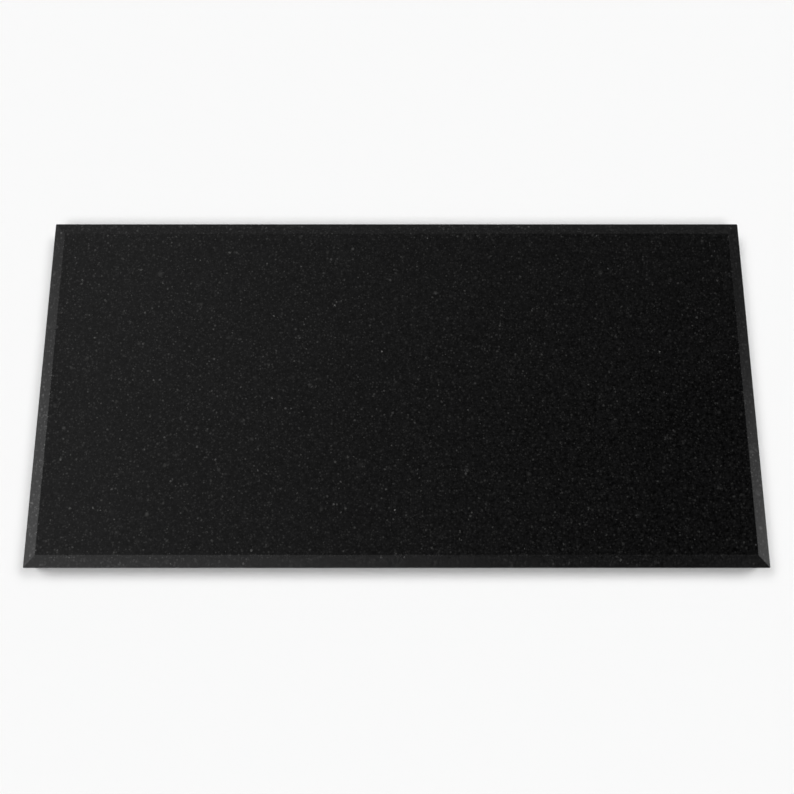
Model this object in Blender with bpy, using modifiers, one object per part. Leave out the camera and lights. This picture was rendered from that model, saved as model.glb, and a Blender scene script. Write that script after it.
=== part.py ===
"""Black granite slab for leather tooling.

The slab is one solid stone: a sawn rectangular block whose work face has a mitred bevel ground all
round it. It lies loose on its flat underside, and it has no other pieces.

Units are metres and +Z is up. The origin is the middle of the underside, +X runs along the slab's
length and +Y across its width.
"""

import bmesh
import bpy

SLAB_NAME = "granite_slab"
STONE_NAME = "polished_black_granite"

# The sawn block, over all.
SLAB_LENGTH = 0.3048
SLAB_WIDTH = 0.1504
SLAB_THICKNESS = 0.0127

# The bevel round the work face: how far it runs in from the sides, and how far it falls to its rim.
BEVEL_RUN = 0.0052
BEVEL_DROP = 0.0016

# How far each kind of sharp edge is eased back from where its two faces would meet.
RIM_EASING = 0.0004
CORNER_EASING = 0.0005
UNDERSIDE_EASING = 0.0008
EASING_SEGMENTS = 3

# The stone's finish, as linear colour.
STONE_COLOUR = (0.008, 0.008, 0.0078, 1.0)
STONE_ROUGHNESS = 0.12
STONE_METALLIC = 0.0

# Two heights closer than this are the same height.
LEVEL_TOLERANCE = 1e-6
EDGE_WEIGHT = "bevel_weight_edge"


def clear_scene():
    """Remove whatever objects the scene starts with."""
    for thing in list(bpy.data.objects):
        bpy.data.objects.remove(thing, do_unlink=True)


def make_stone():
    """A polished black stone."""
    stone = bpy.data.materials.new(STONE_NAME)
    stone.use_nodes = True
    shader = stone.node_tree.nodes["Principled BSDF"]
    shader.inputs["Base Color"].default_value = STONE_COLOUR
    shader.inputs["Roughness"].default_value = STONE_ROUGHNESS
    shader.inputs["Metallic"].default_value = STONE_METALLIC
    stone.diffuse_color = STONE_COLOUR
    return stone


def saw_block(shape, rim_height):
    """The plain block, from the underside up to the rim of the bevel."""
    bmesh.ops.create_cube(shape, size=1.0)
    bmesh.ops.scale(shape, verts=shape.verts, vec=(SLAB_LENGTH, SLAB_WIDTH, rim_height))
    bmesh.ops.translate(shape, verts=shape.verts, vec=(0.0, 0.0, rim_height / 2))


def raise_work_face(shape):
    """The work face, drawn in and up from the rim, which leaves the four bevels mitred at the corners."""
    top = max(shape.faces, key=lambda face: face.calc_center_median().z)
    bmesh.ops.inset_region(
        shape,
        faces=[top],
        thickness=BEVEL_RUN,
        depth=BEVEL_DROP,
        use_even_offset=True,
    )


def easing_of(edge, rim_height):
    """How far this edge is eased back: the rim, the upright corners and the underside are, others aren't."""
    low, high = sorted(vertex.co.z for vertex in edge.verts)
    if high < LEVEL_TOLERANCE:
        return UNDERSIDE_EASING
    if abs(low - rim_height) < LEVEL_TOLERANCE and abs(high - rim_height) < LEVEL_TOLERANCE:
        return RIM_EASING
    if low < LEVEL_TOLERANCE and abs(high - rim_height) < LEVEL_TOLERANCE:
        return CORNER_EASING
    return 0.0


def mark_edges_to_ease(shape, rim_height, widest):
    """Give each edge its share of the widest easing, for the Bevel modifier to read."""
    weight = shape.edges.layers.float.new(EDGE_WEIGHT)
    for edge in shape.edges:
        edge[weight] = easing_of(edge, rim_height) / widest


def ease_edges(slab, widest):
    """Round the marked edges."""
    easing = slab.modifiers.new("eased_edges", "BEVEL")
    easing.limit_method = "WEIGHT"
    easing.edge_weight = EDGE_WEIGHT
    easing.width = widest
    easing.segments = EASING_SEGMENTS
    easing.harden_normals = True


def make_slab(collection):
    """The whole stone, in its own collection."""
    rim_height = SLAB_THICKNESS - BEVEL_DROP
    widest = max(RIM_EASING, CORNER_EASING, UNDERSIDE_EASING)

    shape = bmesh.new()
    saw_block(shape, rim_height)
    raise_work_face(shape)
    mark_edges_to_ease(shape, rim_height, widest)
    mesh = bpy.data.meshes.new(SLAB_NAME)
    shape.to_mesh(mesh)
    shape.free()
    mesh.shade_smooth()
    mesh.materials.append(make_stone())

    slab = bpy.data.objects.new(SLAB_NAME, mesh)
    collection.objects.link(slab)
    ease_edges(slab, widest)


def main():
    clear_scene()
    collection = bpy.data.collections.new(SLAB_NAME)
    bpy.context.scene.collection.children.link(collection)
    make_slab(collection)


main()
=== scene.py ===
import math

import bmesh
import bpy
from bpy.props import FloatProperty, FloatVectorProperty, IntProperty, PointerProperty
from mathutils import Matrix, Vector


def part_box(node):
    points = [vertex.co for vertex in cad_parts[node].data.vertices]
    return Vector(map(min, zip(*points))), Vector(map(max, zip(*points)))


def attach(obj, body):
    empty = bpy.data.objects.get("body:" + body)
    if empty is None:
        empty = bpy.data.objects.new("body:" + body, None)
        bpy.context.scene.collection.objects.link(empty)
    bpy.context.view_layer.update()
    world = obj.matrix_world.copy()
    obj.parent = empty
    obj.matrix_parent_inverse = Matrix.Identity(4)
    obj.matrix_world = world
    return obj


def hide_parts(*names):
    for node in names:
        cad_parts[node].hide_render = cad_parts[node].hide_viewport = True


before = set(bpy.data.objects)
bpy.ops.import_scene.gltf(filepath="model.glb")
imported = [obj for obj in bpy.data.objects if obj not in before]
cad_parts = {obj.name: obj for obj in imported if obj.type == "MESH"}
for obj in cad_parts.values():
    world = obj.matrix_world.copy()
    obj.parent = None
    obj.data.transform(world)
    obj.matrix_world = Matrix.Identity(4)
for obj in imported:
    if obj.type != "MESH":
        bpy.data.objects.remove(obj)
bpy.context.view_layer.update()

bl_info = {
    "name": "Granite tooling slab",
    "version": (1, 0, 0),
    "blender": (4, 5, 0),
    "location": "3D View > Sidebar > Granite slab",
    "description": "Cuts a bevelled slab of black granite and lights it on a pale floor",
    "category": "Object",
}

# The slab is one sawn stone. Its work face is polished, a mitred bevel is ground all round it, and
# its sides and underside keep the marks of the saw. Lengths are in metres.

SLAB_NODE = "granite_slab"
SLAB_LOW, SLAB_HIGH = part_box(SLAB_NODE)
BROKEN = "broken"  # the face attribute that marks broken stone
EDGE_WEIGHT = "bevel_weight_edge"  # the edge attribute that a Bevel modifier reads


# ---------------------------------------------------------------- settings

class StoneSettings(bpy.types.PropertyGroup):
    """Sizes and colours of the slab"""

    bevel_run: FloatProperty(
        name="Bevel run", description="How far the bevel reaches in from the slab's outline",
        default=0.0052, min=0.0005, subtype="DISTANCE", unit="LENGTH")
    bevel_drop: FloatProperty(
        name="Bevel drop", description="How far the bevel falls from the work face to the rim",
        default=0.0016, min=0.0002, subtype="DISTANCE", unit="LENGTH")
    underside_easing: FloatProperty(
        name="Underside easing", description="Width of the softened edge round the underside",
        default=0.0008, min=0.0001, subtype="DISTANCE", unit="LENGTH")
    rim_easing: FloatProperty(
        name="Rim easing", description="Width of the softened edges at the rim and the corners",
        default=0.0004, min=0.0001, subtype="DISTANCE", unit="LENGTH")
    arris_easing: FloatProperty(
        name="Arris easing", description="Width of the softened line between bevel and work face",
        default=0.00016, min=0.00002, subtype="DISTANCE", unit="LENGTH")
    cell: FloatProperty(
        name="Mesh cell", description="Spacing of the mesh that carries the saw's waves",
        default=0.002, min=0.001, subtype="DISTANCE", unit="LENGTH")
    saw_pitch: FloatProperty(
        name="Saw wave pitch", description="Distance between the waves the saw left underneath",
        default=0.011, min=0.004, subtype="DISTANCE", unit="LENGTH")
    saw_depth: FloatProperty(
        name="Saw wave depth", description="Depth of the waves the saw left underneath",
        default=0.00009, min=0.0, subtype="DISTANCE", unit="LENGTH")
    side_depth: FloatProperty(
        name="Side waviness", description="How far the sawn sides wander inwards",
        default=0.00006, min=0.0, subtype="DISTANCE", unit="LENGTH")
    nick_size: FloatProperty(
        name="Nick size", description="Radius of the largest nick along the underside's edge",
        default=0.0011, min=0.0002, subtype="DISTANCE", unit="LENGTH")
    nick_share: FloatProperty(
        name="Nick share", description="Share of the places along the underside's edge with a nick",
        default=0.16, min=0.0, max=1.0, subtype="FACTOR")
    pit_radius: FloatProperty(
        name="Pit radius", description="Radius of the largest pit in the work face",
        default=0.00042, min=0.0001, subtype="DISTANCE", unit="LENGTH")
    seed: IntProperty(
        name="Seed", description="Picks another set of nicks and pits", default=7, min=0)
    ground_colour: FloatVectorProperty(
        name="Ground colour", description="Colour of the black ground mass when polished",
        default=(0.0043, 0.0043, 0.0044), size=3, min=0.0, max=1.0, subtype="COLOR")
    mineral_colour: FloatVectorProperty(
        name="Mineral colour", description="Colour of the pale crystals that fleck the ground",
        default=(1.0, 0.99, 0.965), size=3, min=0.0, max=1.0, subtype="COLOR")
    # Painted light: brightens the crystals towards the slab's left end, as if light fell more
    # strongly from the left.
    painted_left_light: FloatProperty(
        name="Painted Left Light", description="How much brighter the crystals get towards the slab's "
        "left end, as a share per metre", default=1.5, min=0.0, max=5.0)
    nick_place: FloatVectorProperty(
        name="Lone nick", description="Where the one large nick in the work face's edge lies, "
        "as shares of the half length and half width of the work face",
        default=(-1.0, 0.378), size=2, min=-1.0, max=1.0)


class StageSettings(bpy.types.PropertyGroup):
    """Floor, light and camera"""

    floor_colour: FloatVectorProperty(
        name="Floor colour", description="Colour of the plain floor and of the backdrop",
        default=(0.88, 0.88, 0.88), size=3, min=0.0, max=1.0, subtype="COLOR")
    floor_size: FloatProperty(
        name="Floor size", description="Length of the floor's sides",
        default=8.0, min=1.0, subtype="DISTANCE", unit="LENGTH")
    backdrop_glow: FloatProperty(
        name="Backdrop glow", description="Brightness of the backdrop behind the floor",
        default=0.955, min=0.0)
    fill_glow: FloatProperty(
        name="Fill glow", description="Brightness of the even light that fills the shadows",
        default=0.06, min=0.0)
    lamp_power: FloatProperty(
        name="Lamp power", description="Power of the ring of soft lamps, all lamps together",
        default=3.92, min=0.0)
    camera_place: FloatVectorProperty(
        name="Camera place", description="Where the camera stands over the slab's front edge",
        default=(0.00016, -0.0750, 0.3417), size=3, subtype="TRANSLATION", unit="LENGTH")
    camera_tilt: FloatProperty(
        name="Camera tilt", description="Angle between the camera's view and straight down",
        default=math.radians(12.13), subtype="ANGLE", unit="ROTATION")
    camera_lens: FloatProperty(
        name="Camera lens", description="Focal length of the camera in millimetres",
        default=35.98, min=10.0, subtype="DISTANCE_CAMERA", unit="CAMERA")


# ---------------------------------------------------------------- node helpers

class Wiring:
    """A node tree being wired: `put` adds a node and fills its inputs with values or outputs."""

    NODE_SPACING = 190

    def __init__(self, tree):
        self.tree = tree

    def put(self, kind, inputs=None, **settings):
        node = self.tree.nodes.new(kind)
        node.location = (self.NODE_SPACING * len(self.tree.nodes), 0)
        for name, value in settings.items():
            setattr(node, name, value)
        for key, value in (inputs or {}).items():
            self.feed(node.inputs[key], value)
        return node

    def feed(self, socket, value):
        if isinstance(value, bpy.types.NodeSocket):
            self.tree.links.new(value, socket)
        else:
            socket.default_value = value

    def math(self, operation, *values):
        node = self.put("ShaderNodeMath", dict(enumerate(values)), operation=operation)
        return node.outputs[0]

    def clamped(self, operation, *values):
        node = self.put("ShaderNodeMath", dict(enumerate(values)), operation=operation)
        node.use_clamp = True
        return node.outputs[0]

    def vector(self, operation, *values):
        node = self.put("ShaderNodeVectorMath", dict(enumerate(values)), operation=operation)
        scalar = operation in ("DOT_PRODUCT", "LENGTH", "DISTANCE")
        return node.outputs["Value" if scalar else "Vector"]

    def scaled(self, vector, amount):
        node = self.put("ShaderNodeVectorMath", {0: vector, "Scale": amount}, operation="SCALE")
        return node.outputs["Vector"]

    def fade(self, value, start, end, low=1.0, high=0.0):
        """Goes softly from low, where the value is at start, to high, where it is at end."""
        node = self.put(
            "ShaderNodeMapRange", {0: value, 1: start, 2: end, 3: low, 4: high},
            interpolation_type="SMOOTHSTEP")
        return node.outputs[0]

    def noise(self, place, size, detail=2.0, roughness=0.5, distortion=0.0, output="Fac"):
        """Smooth noise whose largest lumps are about size across."""
        node = self.put("ShaderNodeTexNoise", {
            "Vector": place, "Scale": 1.0 / size, "Detail": detail,
            "Roughness": roughness, "Distortion": distortion})
        return node.outputs[output]

    def push(self, place, size, reach, detail=2.0):
        """A shift in any direction, up to about half of reach, that changes smoothly."""
        lumps = self.noise(place, size, detail, output="Color")
        return self.scaled(self.vector("SUBTRACT", lumps, (0.5, 0.5, 0.5)), reach)

    def parts(self, vector):
        """The vector's x, y and z."""
        return self.put("ShaderNodeSeparateXYZ", {0: vector}).outputs

    def object_place(self):
        return self.put("ShaderNodeTexCoord").outputs["Object"]

    def group(self, tree, inputs):
        """Places a node group and gives its outputs."""
        kind = "ShaderNodeGroup" if tree.bl_idname == "ShaderNodeTree" else "GeometryNodeGroup"
        return self.put(kind, inputs, node_tree=tree).outputs

    def random_share(self, seed):
        """A random number from 0 to 1 for each point."""
        inputs = {2: 0.0, 3: 1.0, "Seed": seed}
        return self.put("FunctionNodeRandomValue", inputs, data_type="FLOAT").outputs[1]

    def random_vector(self, low, high, seed):
        """A random vector for each point, its x, y and z between those of low and high."""
        inputs = {0: low, 1: high, "Seed": seed}
        return self.put("FunctionNodeRandomValue", inputs, data_type="FLOAT_VECTOR").outputs[0]


def new_group(name, kind, inputs, outputs):
    """The wiring of a new node group, and the group's inputs by name."""
    tree = bpy.data.node_groups.new(name, kind)
    for socket_kind, label, default in inputs:
        socket = tree.interface.new_socket(name=label, in_out="INPUT", socket_type=socket_kind)
        if default is not None:
            socket.default_value = default
    for socket_kind, label in outputs:
        tree.interface.new_socket(name=label, in_out="OUTPUT", socket_type=socket_kind)
    wiring = Wiring(tree)
    return wiring, wiring.put("NodeGroupInput").outputs


def close_group(wiring, results):
    """Feeds the group's outputs by name, and gives the finished group."""
    out = wiring.put("NodeGroupOutput")
    for label, socket in results.items():
        wiring.feed(out.inputs[label], socket)
    return wiring.tree


def set_modifier_inputs(modifier, values):
    """Sets a Geometry Nodes modifier's inputs, named by their labels, through their identifiers."""
    for item in modifier.node_group.interface.items_tree:
        if item.item_type == "SOCKET" and item.in_out == "INPUT" and item.name in values:
            modifier[item.identifier] = values[item.name]


# ---------------------------------------------------------------- shader groups

FLOAT, VECTOR, COLOUR = "NodeSocketFloat", "NodeSocketVector", "NodeSocketColor"

# Crystals of the pale minerals, from the dust between the grains to the rare large laths. Each row
# holds the spacing, the radius, the softness of the outline, the share of places that hold a
# crystal, and the brightness. A crystal's own radius is 0.6 to 1.4 times its row's.
CRYSTALS = (
    (0.0010, 0.00042, 0.7, 0.90, 0.0060),
    (0.0016, 0.00052, 0.6, 0.60, 0.0082),
    (0.0031, 0.00050, 0.5, 0.45, 0.0092),
    (0.0060, 0.00090, 0.8, 0.60, 0.0075),
    (0.0125, 0.00160, 0.9, 0.60, 0.0055),
    (0.0052, 0.00034, 0.4, 0.50, 0.0270),
)
LEAST_RADIUS = 0.6
RADIUS_SPREAD = 0.8
BRIGHTEST = 5.0  # how many times its row's brightness the brightest crystal has
RARITY_POWER = -0.42  # the closer to zero, the rarer a bright crystal
RAGGED_SIZE = 0.0005  # size of the lumps that make the outlines ragged
RAGGED_REACH = 0.0009  # about twice as far as they push an outline
GRAIN_SIZE = 0.0011  # size of the coarsest grain in the ground mass
DRIFT_SIZE = 0.028  # size of the ground mass's broad lighter and darker areas
DRIFT = 0.5  # how strong they are
DARKEST = (0.0008, 0.0008, 0.0008)


def add_crystals(w, place, spacing, radius, softness, share, glow):
    """One size of crystal, scattered through the stone and cut open by its faces."""
    cells = w.put(
        "ShaderNodeTexVoronoi", {"Vector": place, "Scale": 1.0 / spacing}, feature="F1")
    chance = w.put("ShaderNodeSeparateColor", {0: cells.outputs["Color"]}).outputs
    size = radius / spacing
    reach = w.math("MULTIPLY_ADD", chance[0], RADIUS_SPREAD * size, LEAST_RADIUS * size)
    core = w.math("MULTIPLY", reach, 1.0 - softness)
    shape = w.fade(cells.outputs["Distance"], core, reach)
    rare = w.math("MINIMUM", w.math("POWER", chance[1], RARITY_POWER), BRIGHTEST)
    present = w.math("LESS_THAN", chance[2], share)
    return w.math("MULTIPLY", w.math("MULTIPLY", shape, present), w.math("MULTIPLY", rare, glow))


def gabbro_group():
    """Black ground mass with pale crystals: colour, with painted light that brightens the crystals
    towards the left end, how much crystal shows, and the grain.
    """
    w, given = new_group("Black gabbro", "ShaderNodeTree", (
        (COLOUR, "Ground", (0.004, 0.004, 0.004, 1.0)),
        (COLOUR, "Mineral", (1.0, 1.0, 1.0, 1.0)),
        (FLOAT, "Mineral Amount", 1.0),
        (FLOAT, "Mottle", 0.5),
        (FLOAT, "Painted Left Light", 0.0),
    ), ((COLOUR, "Color"), (FLOAT, "Crystals"), (FLOAT, "Grain")))
    place = w.object_place()
    place = w.vector("ADD", place, w.push(place, RAGGED_SIZE, RAGGED_REACH))
    crystals = 0.0
    for row in CRYSTALS:
        crystals = w.math("ADD", crystals, add_crystals(w, place, *row))
    fine = w.noise(place, GRAIN_SIZE, detail=4.0, roughness=0.72)
    broad = w.noise(place, DRIFT_SIZE, detail=3.0, roughness=0.6)
    swing = w.math("MULTIPLY", w.math("SUBTRACT", fine, 0.5), given["Mottle"])
    drift = w.math("MULTIPLY_ADD", w.math("SUBTRACT", broad, 0.5), DRIFT, 1.0)
    shade = w.math("MAXIMUM", w.math("ADD", swing, 1.0), 0.1)
    ground = w.scaled(given["Ground"], w.math("MULTIPLY", shade, drift))
    # Painted light: the crystals grow brighter towards the left end, standing in for stronger light
    # from that side.
    leftwards = w.math("MULTIPLY", w.parts(place)[0], -1.0)
    painted_light_gain = w.math("MULTIPLY_ADD", leftwards, given["Painted Left Light"], 1.0)
    amount = w.math("MULTIPLY", given["Mineral Amount"], painted_light_gain)
    pale = w.scaled(given["Mineral"], w.math("MULTIPLY", crystals, amount))
    colour = w.vector("MAXIMUM", w.vector("ADD", ground, pale), DARKEST)
    return close_group(w, {"Color": colour, "Crystals": crystals, "Grain": fine})


def arris_group():
    """Bruises along the slab's edges, and how far a point of its top lies inside the outline."""
    w, given = new_group("Arris bruise", "ShaderNodeTree", (
        (FLOAT, "Half Length", 0.15), (FLOAT, "Half Width", 0.07), (FLOAT, "Inner Arris", 0.005),
        (FLOAT, "Rim Height", 0.011), (FLOAT, "Face Height", 0.0127), (FLOAT, "Reach", 0.0005),
    ), ((FLOAT, "Bruise"), (FLOAT, "Inset")))
    place = w.object_place()
    x, y, z = w.parts(place)
    from_end = w.math("SUBTRACT", given["Half Length"], w.math("ABSOLUTE", x))
    from_side = w.math("SUBTRACT", given["Half Width"], w.math("ABSOLUTE", y))
    inset = w.math("MINIMUM", from_end, from_side)
    inner_gap = w.math("ABSOLUTE", w.math("SUBTRACT", inset, given["Inner Arris"]))
    gap_to_inner = w.math("MAXIMUM", inner_gap, w.math("SUBTRACT", given["Face Height"], z))
    gap_to_corner = w.math("MAXIMUM", from_end, from_side)
    rim_gap = w.math("ABSOLUTE", w.math("SUBTRACT", z, given["Rim Height"]))
    gap_to_rim = w.math("MAXIMUM", inset, rim_gap)
    gap_to_foot = w.math("MAXIMUM", inset, z)
    nearest = w.math("MINIMUM", gap_to_inner, gap_to_corner)
    nearest = w.math("MINIMUM", nearest, w.math("MINIMUM", gap_to_rim, gap_to_foot))
    patches = w.noise(place, size=0.0035, detail=3.0, roughness=0.65)
    reach = w.math("MULTIPLY", given["Reach"], w.fade(patches, 0.48, 0.72, low=0.25, high=1.6))
    line = w.fade(nearest, 0.0, reach)
    crumbs = w.fade(w.noise(place, size=0.0009), 0.42, 0.66, low=0.1, high=1.0)
    return close_group(w, {"Bruise": w.math("MULTIPLY", line, crumbs), "Inset": inset})


# Directions in radians in which a stone face is scratched, each with a shift of its own.
SCRATCHES = ((0.35, 0.0), (-0.62, 0.31), (1.48, 0.77))
SCRATCH_SLENDERNESS = 60.0


def haze_group():
    """Roughness of a rubbed stone face: broad wiped clouds, fine scratches and an even base."""
    w, given = new_group("Rubbed finish", "ShaderNodeTree", (
        (FLOAT, "Roughness", 0.1), (FLOAT, "Clouds", 0.02), (FLOAT, "Scratches", 0.05),
    ), ((FLOAT, "Roughness"), (FLOAT, "Height")))
    place = w.object_place()
    wiped = w.put("ShaderNodeMapping", {
        "Vector": place, "Rotation": (0.0, 0.0, 0.5), "Scale": (1.0, 2.6, 1.0)}).outputs[0]
    clouds = w.noise(wiped, size=0.06, detail=4.0, roughness=0.6, distortion=0.4)
    clouds = w.math("SUBTRACT", clouds, 0.5)
    marks = 0.0
    for turn, offset in SCRATCHES:
        lain = w.put("ShaderNodeMapping", {
            "Vector": place, "Location": (offset, offset, 0.0), "Rotation": (0.0, 0.0, turn),
            "Scale": (1.0, SCRATCH_SLENDERNESS, 1.0)}).outputs[0]
        line = w.fade(w.noise(lain, size=0.05, detail=1.0), 0.735, 0.79, low=0.0, high=1.0)
        marks = w.math("MAXIMUM", marks, line)
    rough = w.math("MULTIPLY_ADD", clouds, given["Clouds"], given["Roughness"])
    rough = w.clamped("MULTIPLY_ADD", marks, given["Scratches"], rough)
    return close_group(w, {"Roughness": rough, "Height": w.math("MULTIPLY", marks, -1.0)})


def saw_group():
    """Lines that a blade leaves: coordinate `Across` runs over them and `Along` runs with them."""
    w, given = new_group("Blade lines", "ShaderNodeTree", (
        (FLOAT, "Across", 0.0), (FLOAT, "Along", 0.0), (FLOAT, "Pitch", 0.001),
        (FLOAT, "Run", 0.05),
    ), ((FLOAT, "Height"), (FLOAT, "Lines")))
    across = w.math("DIVIDE", given["Across"], given["Pitch"])
    along = w.math("DIVIDE", given["Along"], given["Run"])
    place = w.put("ShaderNodeCombineXYZ", {0: across, 1: along, 2: 0.0}).outputs[0]
    coarse = w.noise(place, size=1.0, detail=3.0, roughness=0.7)
    sparse = w.noise(w.scaled(place, 0.37), size=1.0, detail=1.0)
    deep = w.fade(sparse, 0.56, 0.7, low=0.0, high=1.0)
    height = w.math("SUBTRACT", coarse, w.math("MULTIPLY", deep, 0.5))
    return close_group(w, {"Height": height, "Lines": deep})


# ---------------------------------------------------------------- materials

STONE_IOR = 1.57
BRUISE_ROUGHNESS = 0.15  # how much rougher a bruised edge is


def finish_on(name, look):
    """A material whose Principled shader is filled in by look(wiring, shader, place)."""
    material = bpy.data.materials.new(name)
    material.use_nodes = True
    material.node_tree.nodes.clear()
    w = Wiring(material.node_tree)
    place = w.object_place()
    shader = w.put("ShaderNodeBsdfPrincipled", {"IOR": STONE_IOR})
    look(w, shader, place)
    w.put("ShaderNodeOutputMaterial", {"Surface": shader.outputs[0]})
    return material


class Finishes:
    """The slab's finishes, which share their node groups."""

    def __init__(self, stone):
        self.stone = stone
        self.gabbro = gabbro_group()
        self.arris = arris_group()
        self.haze = haze_group()
        self.saw = saw_group()

    def stone_colour(self, w, ground, minerals, mottle):
        """The gabbro, its ground lightened by `ground` and its crystals by `minerals`."""
        black = [channel * ground for channel in self.stone.ground_colour]
        return w.group(self.gabbro, {
            "Ground": (*black, 1.0), "Mineral": (*self.stone.mineral_colour, 1.0),
            "Mineral Amount": minerals, "Mottle": mottle,
            "Painted Left Light": self.stone.painted_left_light})

    def edges(self, w, reach):
        return w.group(self.arris, {
            "Half Length": SLAB_HIGH.x, "Half Width": SLAB_HIGH.y,
            "Inner Arris": self.stone.bevel_run, "Reach": reach,
            "Rim Height": SLAB_HIGH.z - self.stone.bevel_drop, "Face Height": SLAB_HIGH.z})

    def bruised(self, w, shader, colour, bruise, whitening):
        """Base Color: the stone, whitened where an edge is bruised."""
        pale = w.math("MULTIPLY", bruise, whitening)
        w.feed(shader.inputs["Base Color"], w.vector("ADD", colour, pale))

    def glinting(self, w, shader, crystals, keenness, roughness):
        """Crystals take a keener polish than the ground mass, which a thin coat over them gives."""
        w.feed(shader.inputs["Coat Weight"], w.clamped("MULTIPLY", crystals, keenness))
        w.feed(shader.inputs["Coat Roughness"], roughness)

    def bump(self, w, shader, height, depth):
        bump = w.put("ShaderNodeBump", {"Height": height, "Distance": depth, "Strength": 1.0})
        w.feed(shader.inputs["Normal"], bump.outputs[0])

    def polished(self, w, shader, place):
        rock = self.stone_colour(w, ground=0.78, minerals=0.9, mottle=6.0)
        self.glinting(w, shader, rock["Crystals"], keenness=25.0, roughness=0.08)
        edge = self.edges(w, reach=0.0004)
        rub = w.group(self.haze, {"Roughness": 0.075, "Clouds": 0.06, "Scratches": 0.05})
        self.bruised(w, shader, rock["Color"], edge["Bruise"], whitening=0.006)
        rough = w.clamped("MULTIPLY_ADD", edge["Bruise"], BRUISE_ROUGHNESS, rub["Roughness"])
        w.feed(shader.inputs["Roughness"], rough)
        unevenness = w.noise(place, size=0.009)
        grain = w.math("MULTIPLY_ADD", rock["Grain"], 0.06, unevenness)
        height = w.math("MULTIPLY_ADD", rub["Height"], 0.05, grain)
        self.bump(w, shader, height, depth=0.000012)

    def bevelled(self, w, shader, place):
        rock = self.stone_colour(w, ground=1.3, minerals=0.9, mottle=4.0)
        self.glinting(w, shader, rock["Crystals"], keenness=65.0, roughness=0.17)
        edge = self.edges(w, reach=0.0005)
        rub = w.group(self.haze, {"Roughness": 0.17, "Clouds": 0.08, "Scratches": 0.06})
        self.bruised(w, shader, rock["Color"], edge["Bruise"], whitening=0.010)
        x, y = w.parts(place)[:2]
        lines = w.group(self.saw, {
            "Across": edge["Inset"], "Along": w.math("ADD", x, y), "Pitch": 0.0004, "Run": 0.03})
        rough = w.math("MULTIPLY_ADD", lines["Lines"], 0.05, rub["Roughness"])
        rough = w.clamped("MULTIPLY_ADD", edge["Bruise"], BRUISE_ROUGHNESS, rough)
        w.feed(shader.inputs["Roughness"], rough)
        height = w.math("MULTIPLY_ADD", rock["Grain"], 0.6, lines["Height"])
        self.bump(w, shader, height, depth=0.000005)

    def sawn_side(self, w, shader, place):
        rock = self.stone_colour(w, ground=3.0, minerals=2.2, mottle=3.0)
        edge = self.edges(w, reach=0.0007)
        self.bruised(w, shader, rock["Color"], edge["Bruise"], whitening=0.05)
        x, y, z = w.parts(place)
        lines = w.group(self.saw, {
            "Across": z, "Along": w.math("ADD", x, y), "Pitch": 0.0006, "Run": 0.06})
        rough = w.math("MULTIPLY_ADD", rock["Grain"], 0.16, 0.32)
        rough = w.clamped("MULTIPLY_ADD", lines["Lines"], 0.12, rough)
        w.feed(shader.inputs["Roughness"], rough)
        height = w.math("MULTIPLY_ADD", rock["Grain"], 0.7, lines["Height"])
        self.bump(w, shader, height, depth=0.00004)

    def sawn_underside(self, w, shader, place):
        rock = self.stone_colour(w, ground=6.5, minerals=2.4, mottle=2.5)
        edge = self.edges(w, reach=0.0009)
        centre = Vector(SAW_CENTRE)
        x, y = w.parts(w.vector("SUBTRACT", place, centre))[:2]
        radius = w.math("SQRT", w.math("ADD", w.math("MULTIPLY", x, x), w.math("MULTIPLY", y, y)))
        sweep = w.math("MULTIPLY", w.math("ARCTAN2", y, x), centre.length)
        lines = w.group(self.saw, {
            "Across": radius, "Along": sweep, "Pitch": 0.0011, "Run": 0.09})
        drifts = w.noise(place, size=0.02, detail=5.0, roughness=0.7)
        powder = w.fade(drifts, 0.42, 0.75, low=0.0, high=0.02)
        powder = w.math("MULTIPLY_ADD", lines["Lines"], 0.012, powder)
        dusty = w.vector("ADD", rock["Color"], powder)
        self.bruised(w, shader, dusty, edge["Bruise"], whitening=0.05)
        w.feed(shader.inputs["Roughness"], w.math("MULTIPLY_ADD", rock["Grain"], 0.2, 0.5))
        height = w.math("MULTIPLY_ADD", rock["Grain"], 0.9, lines["Height"])
        self.bump(w, shader, height, depth=0.00007)

    def broken(self, w, shader, place):
        rock = self.stone_colour(w, ground=7.0, minerals=1.8, mottle=2.5)
        w.feed(shader.inputs["Base Color"], rock["Color"])
        w.feed(shader.inputs["Roughness"], w.math("MULTIPLY_ADD", rock["Grain"], 0.3, 0.4))
        self.bump(w, shader, rock["Grain"], depth=0.00008)


# ---------------------------------------------------------------- the slab's shape

GEOMETRY, WHOLE, MATERIAL = "NodeSocketGeometry", "NodeSocketInt", "NodeSocketMaterial"
SAW_CENTRE = (-0.11, -0.32, 0.0)  # middle of the arcs that the saw left underneath
EASING_SEGMENTS = 3
NICK_SPACING = 0.001
NICK_RARITY = 2.6  # the higher, the fewer of the nicks are large
PIT_RARITY = 2.0
PIT_CLEARANCE = 0.72  # how far off the face a pit's cutter has its middle, as a share of its radius
LONE_NICK_SIZE = (0.0011, 0.0014, 0.0006)
TOLERANCE = 1e-5
MERGE_DISTANCE = 4e-6
QUAD_CORNERS = 4
CREASE = math.radians(8.0)  # an edge that turns more than this gets an easing
SHARP = math.radians(32.0)  # an edge that turns more than this is shaded sharp
BEVEL_LEVEL = math.cos(math.radians(6.0))  # a face less level than this belongs to the bevel
SIDE_LEVEL = 0.6  # and a face less level than this to a side


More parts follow.
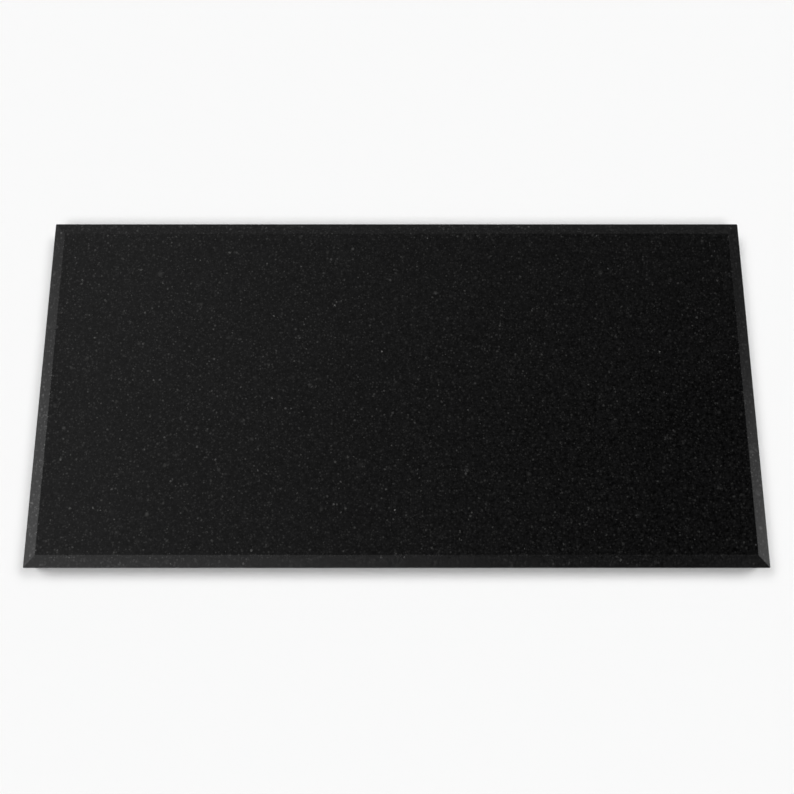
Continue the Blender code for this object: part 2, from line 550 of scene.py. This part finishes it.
def block_tree():
    """The sawn block with its raised, inset work face, its edges weighted for easing."""
    w, given = new_group("Bevelled block", "GeometryNodeTree", (
        (FLOAT, "Length", 0.3), (FLOAT, "Width", 0.15), (FLOAT, "Thickness", 0.0127),
        (FLOAT, "Bevel Run", 0.005), (FLOAT, "Bevel Drop", 0.0016), (FLOAT, "Cell", 0.002),
        (FLOAT, "Rim Weight", 0.5), (FLOAT, "Arris Weight", 0.2), (MATERIAL, "Polished", None),
    ), ((GEOMETRY, "Geometry"),))
    rim = w.math("SUBTRACT", given["Thickness"], given["Bevel Drop"])
    size = w.put("ShaderNodeCombineXYZ", {0: given["Length"], 1: given["Width"], 2: rim})
    counts = []
    for side in (given["Length"], given["Width"], rim):
        cells = w.math("CEIL", w.math("DIVIDE", side, given["Cell"]))
        counts.append(w.math("ADD", cells, 1.0))
    cube = w.put("GeometryNodeMeshCube", {
        "Size": size.outputs[0], "Vertices X": counts[0], "Vertices Y": counts[1],
        "Vertices Z": counts[2]})
    lift = w.put("ShaderNodeCombineXYZ", {2: w.math("MULTIPLY", rim, 0.5)})
    stood = w.put("GeometryNodeSetPosition", {
        "Geometry": cube.outputs["Mesh"], "Offset": lift.outputs[0]})
    level = w.parts(w.put("GeometryNodeInputNormal").outputs[0])[2]
    raised = w.put("GeometryNodeExtrudeMesh", {
        "Mesh": stood.outputs[0], "Selection": w.math("GREATER_THAN", level, 0.5),
        "Offset": (0.0, 0.0, 1.0), "Offset Scale": given["Bevel Drop"], "Individual": False})
    place = w.put("GeometryNodeInputPosition").outputs[0]
    shares = [
        w.math("DIVIDE", w.math("MULTIPLY", given["Bevel Run"], -2.0), side)
        for side in (given["Length"], given["Width"])]
    share = w.put("ShaderNodeCombineXYZ", {0: shares[0], 1: shares[1]})
    inset = w.put("GeometryNodeSetPosition", {
        "Geometry": raised.outputs["Mesh"], "Selection": raised.outputs["Top"],
        "Offset": w.vector("MULTIPLY", place, share.outputs[0])})
    angle = w.put("GeometryNodeInputMeshEdgeAngle").outputs["Unsigned Angle"]
    height = w.parts(place)[2]
    crease = w.math("GREATER_THAN", angle, CREASE)
    above_foot = w.math("GREATER_THAN", height, TOLERANCE)
    above_rim = w.math("GREATER_THAN", height, w.math("ADD", rim, TOLERANCE))
    lower = w.math("SUBTRACT", given["Rim Weight"], 1.0)
    upper = w.math("SUBTRACT", given["Arris Weight"], given["Rim Weight"])
    weight = w.math("MULTIPLY_ADD", above_foot, lower, 1.0)
    weight = w.math("MULTIPLY_ADD", above_rim, upper, weight)
    weight = w.math("MULTIPLY", weight, crease)
    weighted = w.put("GeometryNodeStoreNamedAttribute", {
        "Geometry": inset.outputs[0], "Name": EDGE_WEIGHT, "Value": weight},
        data_type="FLOAT", domain="EDGE")
    realized = w.put("GeometryNodeRealizeInstances", {0: weighted.outputs[0]})
    block = w.put("GeometryNodeSetMaterial", {
        "Geometry": realized.outputs[0], "Material": given["Polished"]})
    return close_group(w, {"Geometry": block.outputs[0]})


def nick_row_group():
    """Nick cutters in a row round a rectangle: where they fall and their sizes are random."""
    w, given = new_group("Nicks along an arris", "GeometryNodeTree", (
        (GEOMETRY, "Cutter", None), (FLOAT, "Length", 0.3), (FLOAT, "Width", 0.15),
        (FLOAT, "Height", 0.0), (FLOAT, "Spacing", NICK_SPACING), (FLOAT, "Share", 0.1),
        (FLOAT, "Smallest", 0.0003), (FLOAT, "Largest", 0.001), (WHOLE, "Seed", 1),
    ), ((GEOMETRY, "Nicks"),))
    path = w.put("GeometryNodeCurvePrimitiveQuadrilateral", {
        "Width": given["Length"], "Height": given["Width"]}, mode="RECTANGLE")
    points = w.put("GeometryNodeCurveToPoints", {
        "Curve": path.outputs[0], "Length": given["Spacing"]}, mode="LENGTH")
    lift = w.put("ShaderNodeCombineXYZ", {2: given["Height"]})
    placed = w.put("GeometryNodeSetPosition", {
        "Geometry": points.outputs["Points"], "Offset": lift.outputs[0]})
    place = w.put("GeometryNodeInputPosition").outputs[0]
    bunched = w.fade(w.noise(place, size=0.022), 0.38, 0.66, low=0.15, high=2.0)
    likely = w.put("FunctionNodeRandomValue", {
        "Probability": w.math("MULTIPLY", bunched, given["Share"]), "Seed": given["Seed"]},
        data_type="BOOLEAN")
    size_seed, stretch_seed, turn_seed = (
        w.math("ADD", given["Seed"], step) for step in (1.0, 2.0, 3.0))
    mostly_small = w.math("POWER", w.random_share(size_seed), NICK_RARITY)
    spread = w.math("SUBTRACT", given["Largest"], given["Smallest"])
    radius = w.math("MULTIPLY_ADD", mostly_small, spread, given["Smallest"])
    stretch = w.random_vector((0.8, 0.7, 0.9), (1.2, 1.0, 1.8), stretch_seed)
    turn = w.random_vector((0.0, 0.0, 0.0), (math.tau, math.tau, math.tau), turn_seed)
    turned = w.put("FunctionNodeEulerToRotation", {0: turn})
    nicks = w.put("GeometryNodeInstanceOnPoints", {
        "Points": placed.outputs[0], "Selection": likely.outputs[3],
        "Instance": given["Cutter"], "Rotation": turned.outputs[0],
        "Scale": w.scaled(stretch, radius)})
    return close_group(w, {"Nicks": nicks.outputs[0]})


def pit_field_group():
    """Pit cutters over a rectangle: each sits so that its lower tip dips a little into the face."""
    w, given = new_group("Pits in a face", "GeometryNodeTree", (
        (GEOMETRY, "Cutter", None), (FLOAT, "Length", 0.3), (FLOAT, "Width", 0.15),
        (FLOAT, "Height", 0.0), (FLOAT, "Outward", 1.0), (FLOAT, "Density", 1000.0),
        (FLOAT, "Smallest", 0.0003), (FLOAT, "Largest", 0.001), (WHOLE, "Seed", 1),
    ), ((GEOMETRY, "Pits"),))
    face = w.put("GeometryNodeMeshGrid", {
        "Size X": given["Length"], "Size Y": given["Width"], "Vertices X": 2, "Vertices Y": 2})
    points = w.put("GeometryNodeDistributePointsOnFaces", {
        "Mesh": face.outputs["Mesh"], "Density": given["Density"], "Seed": given["Seed"]})
    size_seed, turn_seed, stretch_seed = (
        w.math("ADD", given["Seed"], step) for step in (1.0, 2.0, 3.0))
    mostly_small = w.math("POWER", w.random_share(size_seed), PIT_RARITY)
    spread = w.math("SUBTRACT", given["Largest"], given["Smallest"])
    radius = w.math("MULTIPLY_ADD", mostly_small, spread, given["Smallest"])
    clear = w.math("MULTIPLY", w.math("MULTIPLY", radius, PIT_CLEARANCE), given["Outward"])
    lift = w.put("ShaderNodeCombineXYZ", {2: w.math("ADD", given["Height"], clear)})
    turn = w.random_vector((0.0, 0.0, 0.0), (0.5, 0.5, math.tau), turn_seed)
    turned = w.put("FunctionNodeEulerToRotation", {0: turn})
    stretch = w.random_vector((1.0, 0.9, 0.9), (1.7, 1.1, 1.0), stretch_seed)
    pits = w.put("GeometryNodeInstanceOnPoints", {
        "Points": points.outputs["Points"], "Instance": given["Cutter"],
        "Rotation": turned.outputs[0], "Scale": w.scaled(stretch, radius)})
    moved = w.put("GeometryNodeTranslateInstances", {
        "Instances": pits.outputs[0], "Translation": lift.outputs[0], "Local Space": False})
    return close_group(w, {"Pits": moved.outputs[0]})


def add_cutter(w):
    """A small irregular stone chip of radius one, whose faces are marked as broken."""
    ball = w.put("GeometryNodeMeshIcoSphere", {"Radius": 1.0, "Subdivisions": 2})
    place = w.put("GeometryNodeInputPosition").outputs[0]
    lumpy = w.put("GeometryNodeSetPosition", {
        "Geometry": ball.outputs["Mesh"], "Offset": w.push(place, 0.9, 0.7, detail=1.0)})
    marked = w.put("GeometryNodeStoreNamedAttribute", {
        "Geometry": lumpy.outputs[0], "Name": BROKEN, "Value": 1.0},
        data_type="FLOAT", domain="FACE")
    return marked.outputs[0]


def add_saw_waves(w, given, slab):
    """Sinks the underside in arcs round the saw's centre, and lets the sides wander inwards."""
    place = w.put("GeometryNodeInputPosition").outputs[0]
    normal = w.put("GeometryNodeInputNormal").outputs[0]
    radius = w.vector("DISTANCE", w.vector("MULTIPLY", place, (1.0, 1.0, 0.0)), SAW_CENTRE)
    wander = w.math("MULTIPLY", w.noise(place, size=0.05), 5.0)
    phase = w.math("DIVIDE", w.math("MULTIPLY", radius, math.tau), given["Saw Pitch"])
    wave = w.math("MULTIPLY_ADD", w.math("SINE", w.math("ADD", phase, wander)), 0.5, 0.5)
    uneven = w.noise(place, size=0.03)
    sink = w.math("MULTIPLY", w.math("MULTIPLY", wave, uneven), given["Saw Depth"])
    offset = w.put("ShaderNodeCombineXYZ", {2: sink})
    underneath = w.put("GeometryNodeSetPosition", {
        "Geometry": slab, "Selection": w.math("LESS_THAN", w.parts(place)[2], TOLERANCE),
        "Offset": offset.outputs[0]})
    upright = w.math("LESS_THAN", w.math("ABSOLUTE", w.parts(normal)[2]), 0.05)
    hollow = w.fade(w.noise(place, size=0.018), 0.35, 0.7, low=0.0, high=-1.0)
    inwards = w.scaled(normal, w.math("MULTIPLY", hollow, given["Side Depth"]))
    return w.put("GeometryNodeSetPosition", {
        "Geometry": underneath.outputs[0], "Selection": upright, "Offset": inwards}).outputs[0]


def weathering_tree():
    """Saw waves, nicks and pits cut into the slab, and each face given its finish."""
    finishes = ("Polished", "Bevelled", "Sawn Side", "Sawn Underside", "Broken")
    w, given = new_group("Sawn and used stone", "GeometryNodeTree", (
        (GEOMETRY, "Geometry", None), (FLOAT, "Length", 0.3), (FLOAT, "Width", 0.15),
        (FLOAT, "Thickness", 0.0127), (FLOAT, "Bevel Run", 0.005), (FLOAT, "Bevel Drop", 0.0016),
        (FLOAT, "Saw Pitch", 0.01), (FLOAT, "Saw Depth", 0.0001), (FLOAT, "Side Depth", 0.0001),
        (FLOAT, "Nick Size", 0.001), (FLOAT, "Nick Share", 0.1), (FLOAT, "Pit Radius", 0.0004),
        (VECTOR, "Lone Nick", (-1.0, 0.4, 1.0)), (WHOLE, "Seed", 7),
        *((MATERIAL, label, None) for label in finishes),
    ), ((GEOMETRY, "Geometry"),))
    slab = add_saw_waves(w, given, given["Geometry"])
    cutter = add_cutter(w)
    rim = w.math("SUBTRACT", given["Thickness"], given["Bevel Drop"])
    twice_run = w.math("MULTIPLY", given["Bevel Run"], 2.0)
    inner_length = w.math("SUBTRACT", given["Length"], twice_run)
    inner_width = w.math("SUBTRACT", given["Width"], twice_run)
    nick_row = nick_row_group()
    cutters = []
    # Each row: outline, height, share and sizes of its nicks against the underside's, and seed.
    for length, width, height, share, smallest, largest, seed in (
            (given["Length"], given["Width"], 0.0, 1.0, 0.32, 1.0, 11),
            (given["Length"], given["Width"], rim, 0.42, 0.26, 0.55, 23),
            (inner_length, inner_width, given["Thickness"], 0.14, 0.16, 0.42, 37)):
        row = w.group(nick_row, {
            "Cutter": cutter, "Length": length, "Width": width, "Height": height,
            "Share": w.math("MULTIPLY", given["Nick Share"], share),
            "Smallest": w.math("MULTIPLY", given["Nick Size"], smallest),
            "Largest": w.math("MULTIPLY", given["Nick Size"], largest),
            "Seed": w.math("ADD", given["Seed"], float(seed))})
        cutters.append(row["Nicks"])
    pit_field = pit_field_group()
    # Each row: height, outward direction, pits per square metre, sizes against the largest of
    # the work face's, and seed.
    for height, outward, density, smallest, largest, seed in (
            (given["Thickness"], 1.0, 2600.0, 0.45, 1.0, 41),
            (0.0, -1.0, 5200.0, 0.9, 2.6, 53)):
        field = w.group(pit_field, {
            "Cutter": cutter, "Length": inner_length, "Width": inner_width,
            "Height": height, "Outward": outward, "Density": density,
            "Smallest": w.math("MULTIPLY", given["Pit Radius"], smallest),
            "Largest": w.math("MULTIPLY", given["Pit Radius"], largest),
            "Seed": w.math("ADD", given["Seed"], float(seed))})
        cutters.append(field["Pits"])
    spot = w.vector("MULTIPLY", given["Lone Nick"], (0.5, 0.5, 1.0))
    inner = w.put("ShaderNodeCombineXYZ", {
        0: inner_length, 1: inner_width, 2: given["Thickness"]})
    lone = w.put("GeometryNodeTransform", {
        "Geometry": cutter, "Translation": w.vector("MULTIPLY", spot, inner.outputs[0]),
        "Rotation": (0.6, 0.3, 0.4), "Scale": LONE_NICK_SIZE})
    cutters.append(lone.outputs[0])
    joined = w.put("GeometryNodeJoinGeometry")
    for cutting in cutters:
        w.feed(joined.inputs[0], cutting)
    cut = w.put("GeometryNodeMeshBoolean", {
        "Mesh 1": slab, "Mesh 2": joined.outputs[0]}, operation="DIFFERENCE", solver="MANIFOLD")
    merged = w.put("GeometryNodeMergeByDistance", {
        "Geometry": cut.outputs["Mesh"], "Distance": MERGE_DISTANCE})
    faces_met = w.put("GeometryNodeInputMeshVertexNeighbors").outputs["Face Count"]
    closed = w.put("GeometryNodeDeleteGeometry", {
        "Geometry": merged.outputs[0], "Selection": w.math("LESS_THAN", faces_met, 0.5)},
        domain="POINT", mode="ALL")
    corners = w.put("GeometryNodeInputMeshFaceNeighbors").outputs["Vertex Count"]
    many_sided = w.math("GREATER_THAN", corners, QUAD_CORNERS + 0.5)
    split = w.put("GeometryNodeTriangulate", {
        "Mesh": closed.outputs[0], "Selection": many_sided}, ngon_method="BEAUTY")
    shaded = w.put("GeometryNodeSetShadeSmooth", {
        "Geometry": split.outputs[0], "Shade Smooth": True}, domain="FACE")
    angle = w.put("GeometryNodeInputMeshEdgeAngle").outputs["Unsigned Angle"]
    creased = w.put("GeometryNodeSetShadeSmooth", {
        "Geometry": shaded.outputs[0], "Shade Smooth": False,
        "Selection": w.math("GREATER_THAN", angle, SHARP)}, domain="EDGE")
    result = w.put("GeometryNodeRealizeInstances", {0: creased.outputs[0]}).outputs[0]
    level = w.parts(w.put("GeometryNodeInputNormal").outputs[0])[2]
    marked = w.put("GeometryNodeInputNamedAttribute", {"Name": BROKEN}, data_type="FLOAT")
    selections = {
        "Polished": True,
        "Bevelled": w.math("LESS_THAN", level, BEVEL_LEVEL),
        "Sawn Side": w.math("LESS_THAN", level, SIDE_LEVEL),
        "Sawn Underside": w.math("LESS_THAN", level, -SIDE_LEVEL),
        "Broken": w.math("GREATER_THAN", marked.outputs[0], 0.5)}
    for label, selection in selections.items():
        result = w.put("GeometryNodeSetMaterial", {
            "Geometry": result, "Selection": selection, "Material": given[label]}).outputs[0]
    return close_group(w, {"Geometry": result})


# ---------------------------------------------------------------- operators

def empty_object(name):
    mesh = bpy.data.meshes.new(name)
    piece = bpy.data.objects.new(name, mesh)
    bpy.context.scene.collection.objects.link(piece)
    return piece


def add_nodes_modifier(piece, name, tree, values):
    modifier = piece.modifiers.new(name, "NODES")
    modifier.node_group = tree
    set_modifier_inputs(modifier, values)


def plain_mesh(piece):
    """Replaces the piece's modifiers by the mesh they make."""
    graph = bpy.context.evaluated_depsgraph_get()
    mesh = bpy.data.meshes.new_from_object(
        piece.evaluated_get(graph), preserve_all_data_layers=True, depsgraph=graph)
    piece.modifiers.clear()
    old = piece.data
    piece.data = mesh
    bpy.data.meshes.remove(old)
    mesh.name = piece.name
    while mesh.materials and mesh.materials[0] is None:
        mesh.materials.pop(index=0)
    return mesh


class GRANITE_OT_cut_slab(bpy.types.Operator):
    """Cuts the slab, bevels it, weathers it and polishes its work face"""

    bl_idname = "granite.cut_slab"
    bl_label = "Cut the slab"

    def execute(self, context):
        stone = context.scene.granite_stone
        size = SLAB_HIGH - SLAB_LOW
        slab = empty_object("polished_slab")
        common = {
            "Length": size.x, "Width": size.y, "Thickness": size.z,
            "Bevel Run": stone.bevel_run, "Bevel Drop": stone.bevel_drop}
        finishes = Finishes(stone)
        polished = finish_on("polished_face", finishes.polished)
        add_nodes_modifier(slab, "Block", block_tree(), {
            **common, "Cell": stone.cell, "Polished": polished,
            "Rim Weight": stone.rim_easing / stone.underside_easing,
            "Arris Weight": stone.arris_easing / stone.underside_easing})
        easing = slab.modifiers.new("Easing", "BEVEL")
        easing.limit_method = "WEIGHT"
        easing.width = stone.underside_easing
        easing.segments = EASING_SEGMENTS
        easing.use_clamp_overlap = False
        add_nodes_modifier(slab, "Weathering", weathering_tree(), {
            **common, "Saw Pitch": stone.saw_pitch, "Saw Depth": stone.saw_depth,
            "Side Depth": stone.side_depth, "Nick Size": stone.nick_size,
            "Nick Share": stone.nick_share, "Pit Radius": stone.pit_radius,
            "Lone Nick": (*stone.nick_place, 1.0), "Seed": stone.seed, "Polished": polished,
            "Bevelled": finish_on("ground_bevel", finishes.bevelled),
            "Sawn Side": finish_on("sawn_side", finishes.sawn_side),
            "Sawn Underside": finish_on("sawn_underside", finishes.sawn_underside),
            "Broken": finish_on("broken_stone", finishes.broken)})
        facing = slab.modifiers.new("Facing", "WEIGHTED_NORMAL")
        facing.mode = "FACE_AREA"
        facing.weight = 100
        facing.keep_sharp = True
        mesh = plain_mesh(slab)
        if not mesh.polygons:
            raise RuntimeError("the slab came out empty")
        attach(slab, "root")
        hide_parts(SLAB_NODE)
        return {"FINISHED"}


# Soft lamps stand in a ring: direction from the slab (degrees from +X), angle from straight above
# (degrees) and share of the power. Most of the light comes from both sides, somewhat from the
# back, and the rest comes from the front.
LAMP_RING = (
    (10.0, 36.0, 0.12), (25.0, 36.0, 0.12), (42.0, 34.0, 0.12),
    (170.0, 36.0, 0.12), (155.0, 36.0, 0.12), (138.0, 34.0, 0.12),
    (262.0, 33.0, 0.14), (278.0, 33.0, 0.14),
)
LAMP_SPREAD = math.radians(18.0)


def soft_patch_group():
    """A soft-edged patch of light in the surroundings, round one direction."""
    w, given = new_group("Soft patch", "ShaderNodeTree", (
        (VECTOR, "Centre", (0.0, 0.0, 1.0)), (FLOAT, "Outer", 0.0), (FLOAT, "Inner", 1.0),
        (FLOAT, "Falloff", 1.0), (FLOAT, "Glow", 1.0),
    ), ((FLOAT, "Light"),))
    way = w.put("ShaderNodeTexCoord").outputs["Generated"]
    nearness = w.vector("DOT_PRODUCT", way, w.vector("NORMALIZE", given["Centre"]))
    span = w.math("SUBTRACT", given["Inner"], given["Outer"])
    share = w.clamped("DIVIDE", w.math("SUBTRACT", nearness, given["Outer"]), span)
    return close_group(w, {"Light": w.math(
        "MULTIPLY", w.math("POWER", share, given["Falloff"]), given["Glow"])})


# Patches of the surroundings that the polished faces mirror: centre, outer and inner nearness,
# falloff and glow. They are a wide window on the left, its brighter low part, a panel at the front
# left, a bright one low on the right, and two dim ones at the back and at the back right.
PATCHES = (
    ((-0.88, 0.02, 0.47), -0.05, 1.0, 2.4, 0.39),
    ((-0.93, -0.25, 0.27), 0.77, 0.95, 1.0, 0.59),
    ((-0.62, -0.70, 0.35), 0.50, 1.0, 1.5, 0.63),
    ((0.90, -0.35, 0.26), 0.70, 0.92, 2.6, 1.22),
    ((0.0, 0.95, 0.30), 0.45, 1.0, 1.0, 0.122),
    ((0.75, 0.45, 0.48), 0.85, 1.0, 1.0, 0.06),
)
SURROUND_GLOW = 0.005  # what is mirrored where there is no patch
SKYLINE_GLOW = 0.05  # what is mirrored near the horizon
SKYLINE = (0.08, 0.40)  # heights, as the sine of the angle, between which the patches set in


def light_surroundings(world, stage):
    """A pale backdrop for the eye, soft patches for the polish to mirror, and an even fill."""
    world.use_nodes = True
    world.node_tree.nodes.clear()
    w = Wiring(world.node_tree)
    patch = soft_patch_group()
    light = 0.0
    for centre, outer, inner, falloff, glow in PATCHES:
        light = w.math("ADD", light, w.group(patch, {
            "Centre": centre, "Outer": outer, "Inner": inner, "Falloff": falloff,
            "Glow": glow})["Light"])
    height = w.parts(w.put("ShaderNodeTexCoord").outputs["Generated"])[2]
    light = w.math("MULTIPLY", light, w.fade(height, *SKYLINE, low=0.0, high=1.0))
    light = w.math("ADD", light, w.fade(height, *SKYLINE, low=SKYLINE_GLOW, high=SURROUND_GLOW))
    ray = w.put("ShaderNodeLightPath").outputs
    fill = w.math("SUBTRACT", 1.0, w.math("MAXIMUM", ray["Is Camera Ray"], ray["Is Glossy Ray"]))
    strength = w.math("MULTIPLY", ray["Is Glossy Ray"], light)
    strength = w.math("MULTIPLY_ADD", ray["Is Camera Ray"], stage.backdrop_glow, strength)
    strength = w.math("MULTIPLY_ADD", fill, stage.fill_glow, strength)
    glow = w.put("ShaderNodeBackground", {"Color": (1.0, 1.0, 1.0, 1.0), "Strength": strength})
    w.put("ShaderNodeOutputWorld", {"Surface": glow.outputs[0]})


def add_lamp(name, bearing, tilt, power):
    """A soft, distant lamp that lights matte surfaces and isn't mirrored by the polish."""
    light = bpy.data.lights.new(name, "SUN")
    light.energy = power
    light.angle = LAMP_SPREAD
    lamp = bpy.data.objects.new(name, light)
    lamp.rotation_euler = (tilt, 0.0, bearing + math.pi / 2)
    lamp.visible_glossy = False
    lamp.visible_camera = False
    bpy.context.scene.collection.objects.link(lamp)


def make_floor(stage):
    floor = empty_object("floor")
    mesh = bmesh.new()
    bmesh.ops.create_grid(mesh, x_segments=1, y_segments=1, size=stage.floor_size / 2)
    bmesh.ops.translate(mesh, verts=mesh.verts, vec=(0.0, 0.0, SLAB_LOW.z))
    mesh.to_mesh(floor.data)
    mesh.free()
    material = bpy.data.materials.new("plain_floor")
    material.use_nodes = True
    shader = material.node_tree.nodes["Principled BSDF"]
    shader.inputs["Base Color"].default_value = (*stage.floor_colour, 1.0)
    shader.inputs["Roughness"].default_value = 0.9
    shader.inputs["Specular IOR Level"].default_value = 0.0
    floor.data.materials.append(material)
    return floor


class GRANITE_OT_set_stage(bpy.types.Operator):
    """Lays the pale floor, sets the soft light and points the camera"""

    bl_idname = "granite.set_stage"
    bl_label = "Set the stage"

    def execute(self, context):
        scene = context.scene
        stage = scene.granite_stage
        make_floor(stage)
        scene.world = bpy.data.worlds.new("Surroundings")
        light_surroundings(scene.world, stage)
        for count, (bearing, tilt, share) in enumerate(LAMP_RING, 1):
            place = math.radians(bearing), math.radians(tilt)
            add_lamp(f"Ring lamp {count}", *place, stage.lamp_power * share)
        scene.view_settings.view_transform = "Standard"
        camera = bpy.data.objects.new("Camera", bpy.data.cameras.new("Camera"))
        camera.location = stage.camera_place
        camera.rotation_euler = (stage.camera_tilt, 0.0, 0.0)
        camera.data.lens = stage.camera_lens
        camera.data.clip_start = 0.01
        scene.collection.objects.link(camera)
        scene.camera = camera
        return {"FINISHED"}


class GRANITE_PT_slab(bpy.types.Panel):
    """Lists the slab's and the stage's settings, each above the button that makes it"""

    bl_idname = "GRANITE_PT_slab"
    bl_label = "Granite slab"
    bl_space_type = "VIEW_3D"
    bl_region_type = "UI"
    bl_category = "Granite slab"

    def draw(self, context):
        scene = context.scene
        for settings, operator in (
                (scene.granite_stone, GRANITE_OT_cut_slab),
                (scene.granite_stage, GRANITE_OT_set_stage)):
            box = self.layout.box()
            for name in settings.__annotations__:
                box.prop(settings, name)
            box.operator(operator.bl_idname)


CLASSES = (
    StoneSettings, StageSettings, GRANITE_OT_cut_slab, GRANITE_OT_set_stage, GRANITE_PT_slab)


def register():
    for cls in CLASSES:
        bpy.utils.register_class(cls)
    bpy.types.Scene.granite_stone = PointerProperty(type=StoneSettings)
    bpy.types.Scene.granite_stage = PointerProperty(type=StageSettings)


def unregister():
    del bpy.types.Scene.granite_stage
    del bpy.types.Scene.granite_stone
    for cls in reversed(CLASSES):
        bpy.utils.unregister_class(cls)


def main():
    register()
    bpy.ops.granite.cut_slab()
    bpy.ops.granite.set_stage()


if __name__ == "__main__":
    main()
